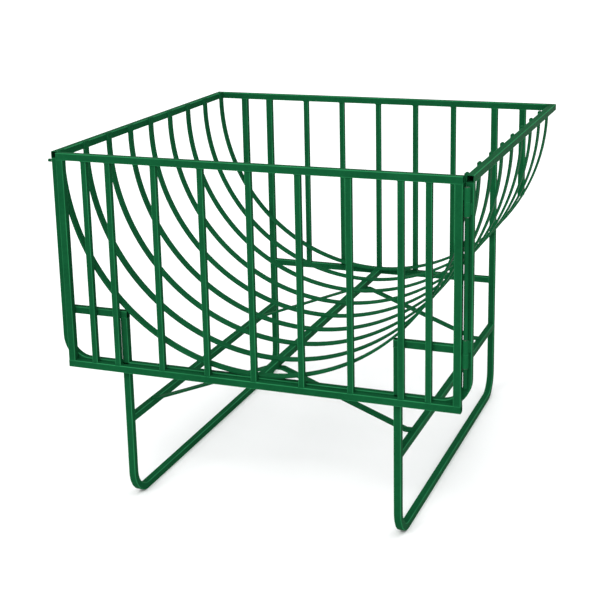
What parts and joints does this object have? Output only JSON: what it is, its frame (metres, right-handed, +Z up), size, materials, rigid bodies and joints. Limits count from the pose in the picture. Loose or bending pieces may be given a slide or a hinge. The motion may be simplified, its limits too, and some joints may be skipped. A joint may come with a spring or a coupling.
{
  "type": "hay rack feeder",
  "caption": "Green steel hay rack: a half-round basket of curved flat bars between square tube rails on two bent tube runners, with a barred side-hinged gate and a push-through latch pin.",
  "frame": {"origin": "middle of the overall footprint, on the floor plane under the two runners", "axes": "+Z up, +Y from the gate at the front to the rear panel, +X to the gate's hinge side"},
  "size_m": [1.487, 1.416, 1.255],
  "materials": {
    "green_paint": "satin",
    "hinge_steel": "satin"
  },
  "bodies": {
    "rack": {"left_side_rail": "green_paint", "right_side_rail": "green_paint", "rear_top_rail": "green_paint", "rear_bottom_rail": "green_paint", "keel_beam": "green_paint", "front_frame": "green_paint", "left_leg_frame": "green_paint", "right_leg_frame": "green_paint", "left_stretcher": "green_paint", "right_stretcher": "green_paint", "left_leg_stub": "green_paint", "right_leg_stub": "green_paint", "hoop_1": "green_paint", "hoop_2": "green_paint", "hoop_3": "green_paint", "hoop_4": "green_paint", "hoop_5": "green_paint", "hoop_6": "green_paint", "hoop_7": "green_paint", "hoop_8": "green_paint", "hoop_9": "green_paint", "rear_bar_1": "green_paint", "rear_bar_2": "green_paint", "rear_bar_3": "green_paint", "rear_bar_4": "green_paint", "rear_bar_5": "green_paint", "rear_outer_bar_left": "green_paint", "rear_outer_bar_right": "green_paint", "front_brace_left": "green_paint", "front_brace_right": "green_paint", "rear_brace_left": "green_paint", "rear_brace_right": "green_paint", "upper_post_knuckle": "green_paint", "lower_post_knuckle": "green_paint", "hinge_rod": "hinge_steel"},
    "gate": {"gate_top_rail": "green_paint", "gate_bottom_rail": "green_paint", "gate_left_stile": "green_paint", "gate_right_stile": "green_paint", "gate_bar_1": "green_paint", "gate_bar_2": "green_paint", "gate_bar_3": "green_paint", "gate_bar_4": "green_paint", "gate_bar_5": "green_paint", "gate_bar_6": "green_paint", "gate_bar_7": "green_paint", "gate_bar_8": "green_paint", "gate_bar_9": "green_paint", "upper_gate_knuckle": "green_paint", "lower_gate_knuckle": "green_paint", "latch_eye": "green_paint"},
    "latch": {"latch_pin": "green_paint"}
  },
  "joints": [
    {"name": "gate_hinge", "type": "hinge", "parent": "rack", "child": "gate", "pos_m": [0.7255, -0.693, 1.171], "axis": [0, 0, 1], "range_deg": [0, 150]},
    {"name": "latch_slide", "type": "slide", "parent": "rack", "child": "latch", "axis": [1, 0, 0], "range_m": [0, 0.014]}
  ]
}
